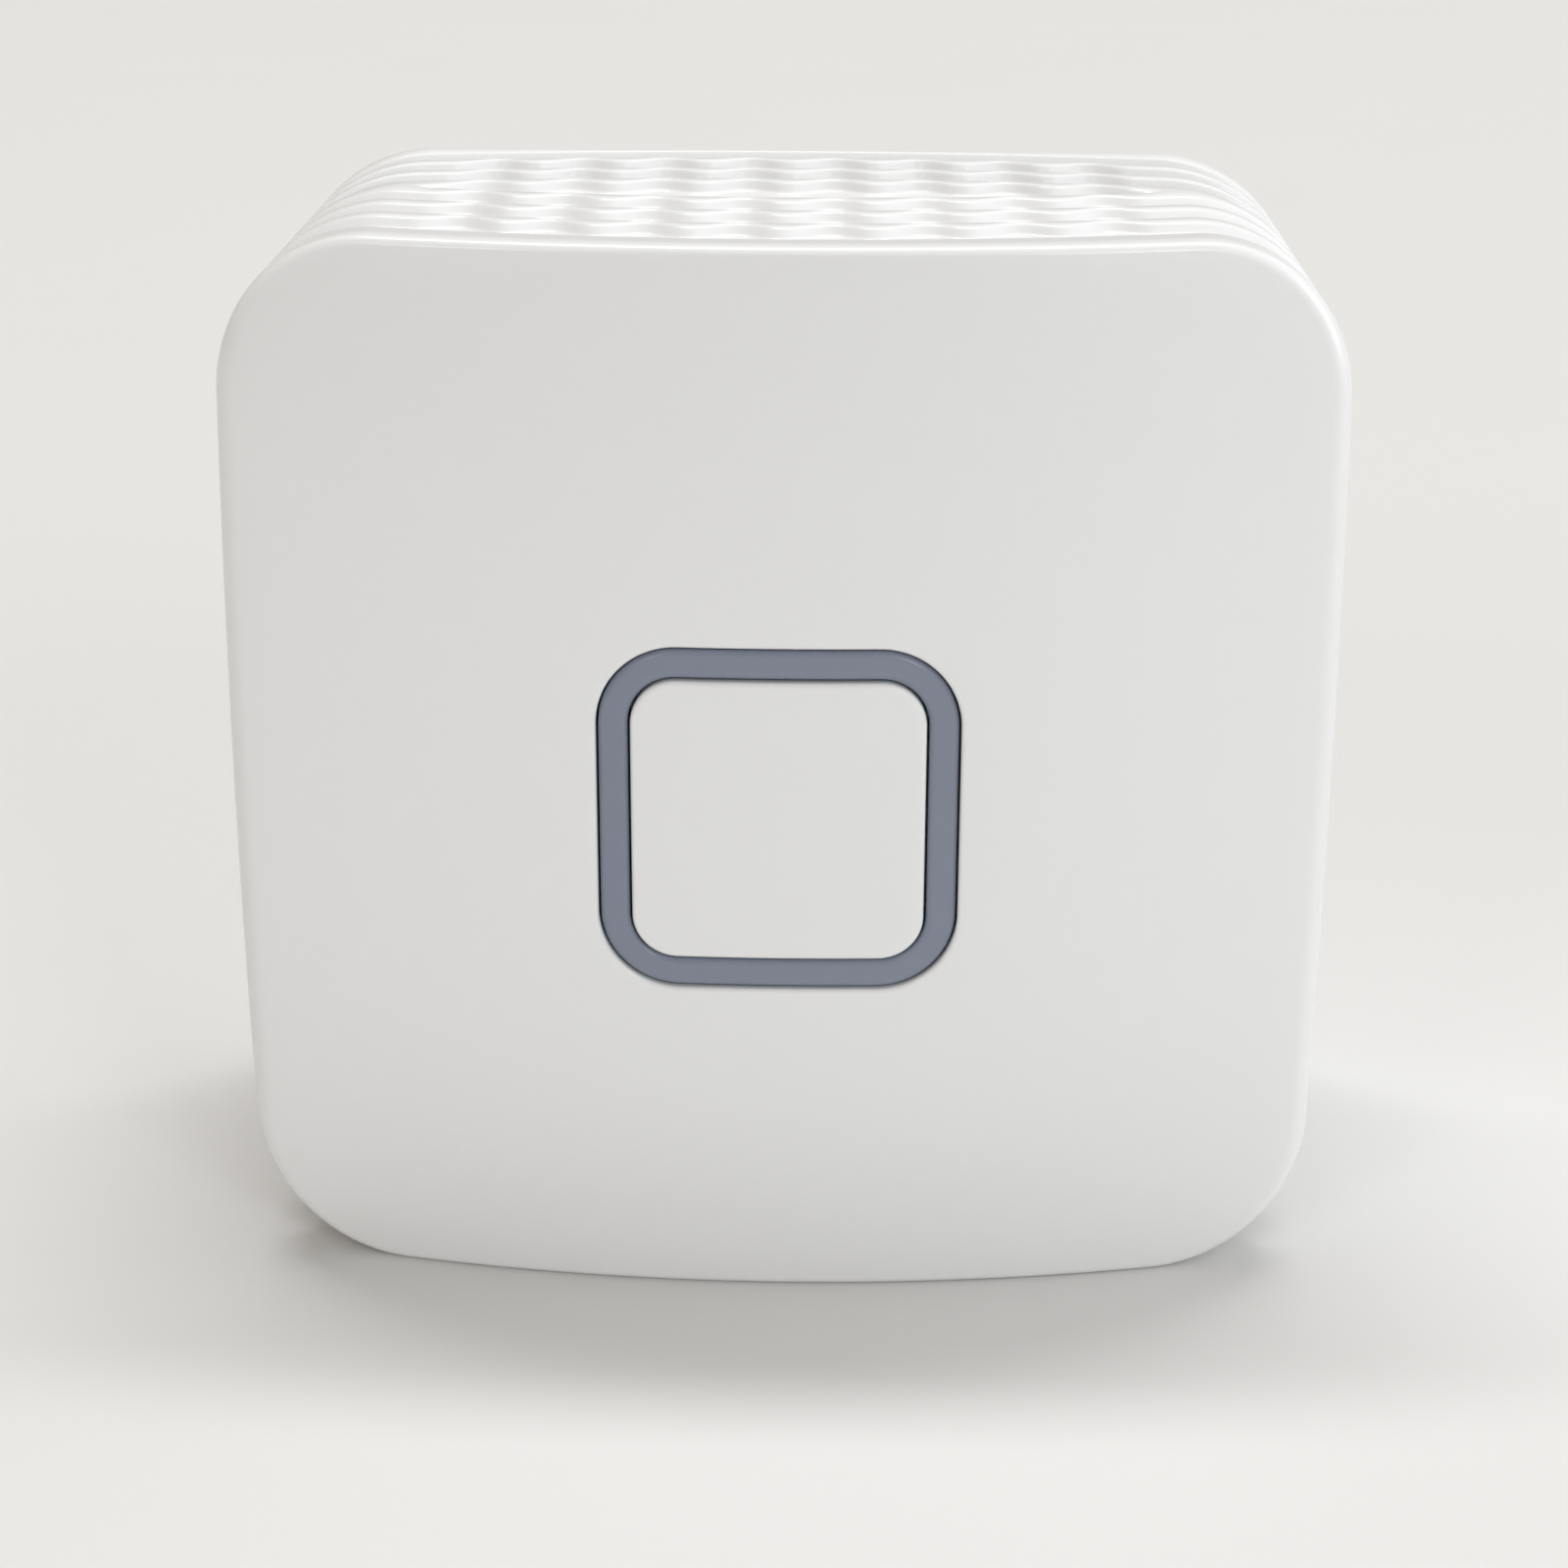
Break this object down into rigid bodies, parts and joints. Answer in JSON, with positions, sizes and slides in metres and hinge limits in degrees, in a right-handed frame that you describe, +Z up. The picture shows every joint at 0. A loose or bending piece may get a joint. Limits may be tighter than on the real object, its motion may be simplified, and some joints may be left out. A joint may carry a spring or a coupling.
{
  "type": "smart hub",
  "caption": "Plug-in smart home hub: white crowned rounded-square housing with scalloped ribbed sides, a grey light ring round a push button, and a two-blade mains plug on the back.",
  "frame": {"origin": "centre of the flat wall face, where the back meets the wall", "axes": "+Y out of the back, along the plug's blades, so the face looks along -Y; +Z up; +X to the right as seen from in front"},
  "size_m": [0.061, 0.0531, 0.0602],
  "materials": {
    "housing": "glossy moulded white plastic",
    "light_guide": "slate-grey translucent plastic, polished",
    "dark_plastic": "matt black moulded plastic",
    "bright_metal": "tinned or nickel-plated sheet",
    "led": "white package with a pale yellow lens",
    "circuit_board": "green solder resist on glass epoxy",
    "screw_steel": "zinc-plated",
    "chip": "matt black epoxy",
    "insulator": "amber polyimide sheet",
    "brass": "bare sheet",
    "ferrite": "grey-black sintered ferrite",
    "winding_tape": "yellow polyester tape over the winding",
    "capacitor_sleeve": "shrunk dark sleeve",
    "fuse_body": "ceramic tube with plated caps",
    "ceramic_blue": "dipped blue coating",
    "blade_metal": "nickel-plated brass, satin"
  },
  "bodies": {
    "housing": {"front_cover": "housing", "rear_cover": "housing", "light_ring": "light_guide", "light_shield": "dark_plastic", "switch_body": "dark_plastic", "switch_cover": "bright_metal", "switch_dome": "bright_metal", "status_leds": "led", "main_board": "circuit_board", "main_board_screws": "screw_steel", "shield_can": "bright_metal", "processor": "chip", "memory_chip": "chip", "radio_chip": "chip", "crystal": "bright_metal", "antennas": "bright_metal", "insulator_sheet": "insulator", "board_socket": "dark_plastic", "board_header": "dark_plastic", "header_pins": "brass", "power_board": "circuit_board", "power_board_screws": "screw_steel", "transformer_core": "ferrite", "transformer_bobbin": "dark_plastic", "transformer_winding": "winding_tape", "bulk_capacitors": "capacitor_sleeve", "output_capacitor": "capacitor_sleeve", "input_choke": "ferrite", "fuse": "fuse_body", "rectifier": "chip", "power_controller": "chip", "disc_capacitor": "ceramic_blue", "blade_carrier": "housing", "blade_left": "blade_metal", "blade_right": "blade_metal", "blade_clips": "brass"},
    "button": {"button_cap": "housing"},
    "switch_stem": {"switch_stem": "dark_plastic"}
  },
  "joints": [
    {"name": "button_press", "type": "slide", "parent": "housing", "child": "button", "axis": [0, 1, 0], "range_m": [0, 0.0004], "stiffness_N_per_m": 3000},
    {"name": "stem_press", "type": "slide", "parent": "housing", "child": "switch_stem", "axis": [0, 1, 0], "range_m": [0, 0.0004]}
  ],
  "couplings": [
    {"joint": "stem_press", "follows": "button_press", "ratio": 1}
  ]
}
